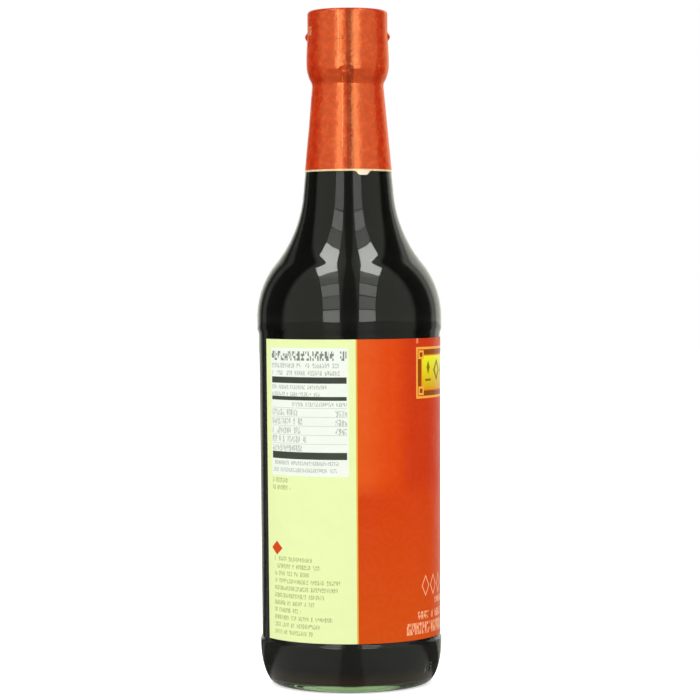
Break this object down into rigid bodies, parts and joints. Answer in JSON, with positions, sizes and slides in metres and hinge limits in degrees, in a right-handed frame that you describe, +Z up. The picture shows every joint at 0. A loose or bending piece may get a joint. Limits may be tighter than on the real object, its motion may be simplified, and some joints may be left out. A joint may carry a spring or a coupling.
{
  "type": "soy sauce bottle",
  "caption": "Sealed round glass bottle full of dark soy sauce, with a screw cap under a red shrink sleeve and a plain wrap-round paper label.",
  "frame": {"origin": "centre of the standing ring, on the plane that the bottle stands on", "axes": "+Z up along the bottle's axis; the middle of the label's front faces -Y and its bare gap faces +Y; +X is to the right when the front is looked at"},
  "size_m": [0.069, 0.069, 0.2512],
  "materials": {
    "glass": "smooth moulded glass with a faint green tint",
    "sauce": "dark brown liquid, black in depth",
    "cap": "moulded red plastic",
    "film": "glossy red shrink film with a pale lower edge",
    "paper": "glossy coated paper, cream and red"
  },
  "bodies": {
    "root": {"bottle": "glass", "sauce": "sauce", "cap": "cap", "sleeve": "film", "label": "paper"}
  },
  "joints": []
}
